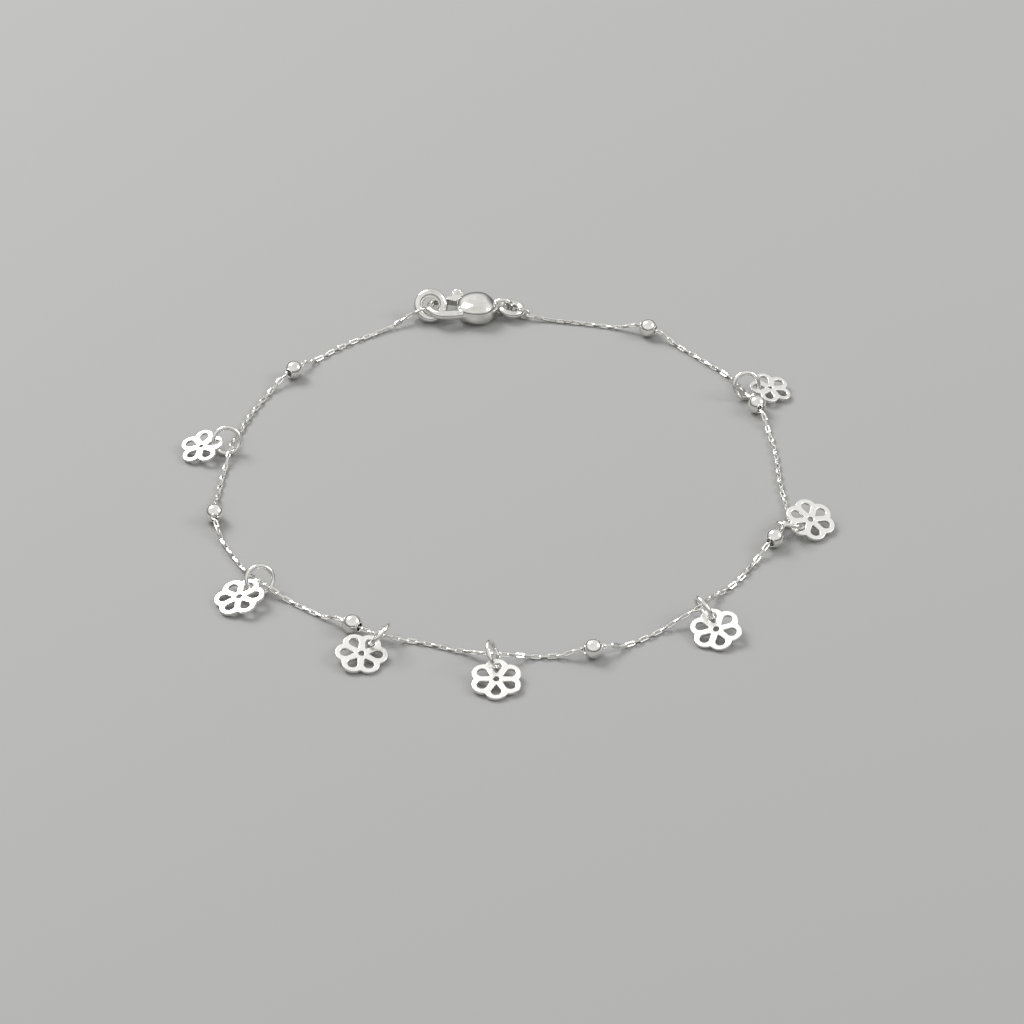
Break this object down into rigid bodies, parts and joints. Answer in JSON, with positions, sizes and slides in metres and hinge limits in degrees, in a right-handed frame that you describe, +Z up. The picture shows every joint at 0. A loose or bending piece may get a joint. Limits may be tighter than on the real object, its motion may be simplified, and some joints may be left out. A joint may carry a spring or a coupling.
{
  "type": "charm anklet",
  "caption": "Fine silver cable-chain anklet with ball beads and pierced flower charms on jump rings, closed into a loop by a lobster clasp on a thick round ring.",
  "frame": {"origin": "middle of the anklet's outline, on the surface it lies on", "axes": "Z up from the surface; +Y towards the clasp side of the loop; +X to the viewer's right, who looks from the -Y side"},
  "size_m": [0.086, 0.0878, 0.0041],
  "materials": {
    "silver_chain": "polished silver",
    "silver_bead": "high-polished silver",
    "silver_charm": "satin white silver with polished edges",
    "silver_ring": "polished silver wire",
    "silver_clasp": "polished cast silver"
  },
  "bodies": {
    "anklet": {"chain": "silver_chain", "bead_1": "silver_bead", "bead_2": "silver_bead", "bead_3": "silver_bead", "bead_4": "silver_bead", "bead_5": "silver_bead", "bead_6": "silver_bead", "bead_7": "silver_bead", "charm_1": "silver_charm", "charm_2": "silver_charm", "charm_3": "silver_charm", "charm_4": "silver_charm", "charm_5": "silver_charm", "charm_6": "silver_charm", "charm_7": "silver_charm", "charm_ring_1": "silver_ring", "charm_ring_2": "silver_ring", "charm_ring_3": "silver_ring", "charm_ring_4": "silver_ring", "charm_ring_5": "silver_ring", "charm_ring_6": "silver_ring", "charm_ring_7": "silver_ring", "end_ring": "silver_clasp", "clasp_ring": "silver_clasp", "clasp_body": "silver_clasp"},
    "lever": {"clasp_lever": "silver_clasp"}
  },
  "joints": [
    {"name": "lever_hinge", "type": "hinge", "parent": "anklet", "child": "lever", "pos_m": [-0.00535, 0.04139, 0.00168], "axis": [0.0468, 0.0057, 0.9989], "range_deg": [0, 28], "stiffness_Nm_per_rad": 0.004, "springref_deg": -28.65}
  ]
}
